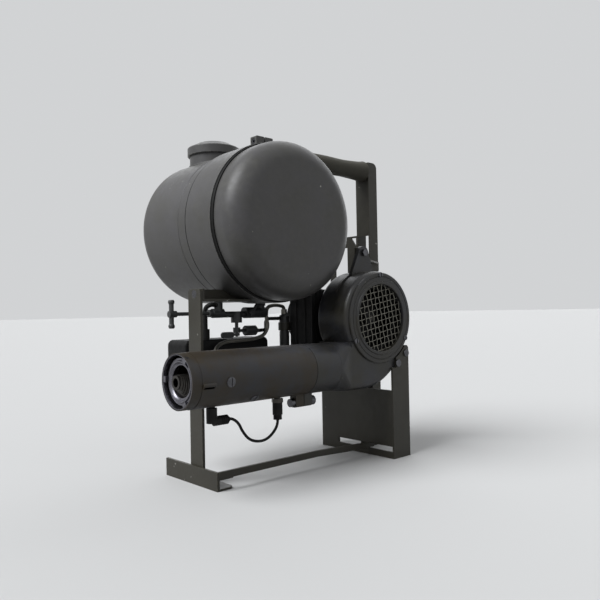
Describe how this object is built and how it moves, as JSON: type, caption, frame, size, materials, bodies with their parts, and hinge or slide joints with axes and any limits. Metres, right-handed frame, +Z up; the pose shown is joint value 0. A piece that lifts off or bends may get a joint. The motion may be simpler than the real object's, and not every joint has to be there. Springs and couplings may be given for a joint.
{
  "type": "diesel air heater",
  "caption": "Portable diesel air heater: fuel tank strapped over a burner tube and centrifugal blower on a steel foot, stand and carrying grip",
  "frame": {"origin": "centre of the footprint, on the floor", "axes": "+Z up, -X the way the warm air leaves, -Y the side with the air intake"},
  "size_m": [0.414, 0.265, 0.479],
  "materials": {
    "tank_paint": "satin, fine orange peel",
    "frame_paint": "satin",
    "housing_paint": "satin",
    "burner_paint": "satin, heat-proof",
    "nozzle_steel": "dull, heat-stained",
    "mesh_wire": "worn on the crossings",
    "bolt_steel": "blackened",
    "fitting_metal": "satin",
    "pipe_steel": "dull",
    "grip_rubber": "matt",
    "black_rubber": "matt",
    "black_plastic": "matt",
    "motor_paint": "satin",
    "wheel_aluminium": "cast",
    "inner_steel": "plain",
    "board_green": "gloss"
  },
  "bodies": {
    "chassis": {"tank_shell": "tank_paint", "fuel_strainer": "black_plastic", "tank_strap": "frame_paint", "strap_liner": "black_rubber", "strap_bolt": "bolt_steel", "front_foot": "frame_paint", "front_post": "frame_paint", "tank_saddle": "frame_paint", "base_rail": "frame_paint", "rear_stand": "frame_paint", "stand_bolts": "bolt_steel", "rear_post": "frame_paint", "post_spacers": "frame_paint", "frame_bolts": "bolt_steel", "handle_bar": "frame_paint", "handle_grip": "grip_rubber", "blower_front": "housing_paint", "blower_rear": "housing_paint", "outlet_neck": "housing_paint", "latch_bolt": "bolt_steel", "joint_gasket": "black_rubber", "intake_ring": "housing_paint", "pan_screws": "bolt_steel", "intake_grille": "mesh_wire", "motor_case": "motor_paint", "motor_cap": "motor_paint", "motor_bearings": "inner_steel", "motor_band": "frame_paint", "stay_bracket": "frame_paint", "burner_casing": "burner_paint", "nozzle_ring": "nozzle_steel", "outlet_dish": "nozzle_steel", "combustion_chamber": "nozzle_steel", "air_diffuser": "inner_steel", "burner_head": "inner_steel", "fuel_inlet": "fitting_metal", "sensor_elbow": "black_plastic", "igniter_plug": "inner_steel", "igniter_connector": "black_plastic", "igniter_lead": "black_rubber", "control_box": "black_plastic", "box_lid": "black_plastic", "circuit_board": "board_green", "switch_body": "black_plastic", "power_inlet": "black_plastic", "box_bracket": "frame_paint", "fuel_manifold": "fitting_metal", "fuel_filter": "fitting_metal", "feed_pipe": "pipe_steel", "supply_hose": "black_rubber", "fuel_pump": "fitting_metal", "sender_lead": "black_rubber"},
    "filler_cap": {"cap_shell": "tank_paint"},
    "cap_carrier": {"cap_seal": "black_rubber"},
    "tee_valve": {"valve_tee": "fitting_metal"},
    "selector": {"selector_lever": "fitting_metal"},
    "drain_handle": {"drain_lever": "fitting_metal"},
    "toggle": {"switch_toggle": "inner_steel"},
    "blower_wheel": {"impeller": "wheel_aluminium", "motor_rotor": "inner_steel"}
  },
  "joints": [
    {"name": "cap_lift", "type": "slide", "parent": "chassis", "child": "cap_carrier", "axis": [0, 0, 1], "range_m": [0, 0.009]},
    {"name": "cap_turn", "type": "hinge", "parent": "cap_carrier", "child": "filler_cap", "pos_m": [-0.023, 0.086, 0.47], "axis": [0, 0, 1], "range_deg": [0, 540]},
    {"name": "tee_valve_turn", "type": "hinge", "parent": "chassis", "child": "tee_valve", "pos_m": [-0.1496, 0.008, 0.218], "axis": [1, 0, 0], "range_deg": [0, 90]},
    {"name": "selector_turn", "type": "hinge", "parent": "chassis", "child": "selector", "pos_m": [-0.0224, 0, 0.218], "axis": [0, 1, 0], "range_deg": [0, 52]},
    {"name": "drain_cock_turn", "type": "hinge", "parent": "chassis", "child": "drain_handle", "pos_m": [-0.043, 0.008, 0.187], "axis": [0, 0, 1], "range_deg": [0, 90]},
    {"name": "switch_toggle", "type": "hinge", "parent": "chassis", "child": "toggle", "pos_m": [-0.04, 0.05925, 0.15], "axis": [1, 0, 0], "range_deg": [-12, 12]},
    {"name": "blower_spin", "type": "hinge", "parent": "chassis", "child": "blower_wheel", "pos_m": [0.113, -0.0955, 0.207], "axis": [0, 1, 0], "continuous": true}
  ],
  "couplings": [
    {"joint": "cap_lift", "follows": "cap_turn", "m_per_rad": 0.000954}
  ]
}
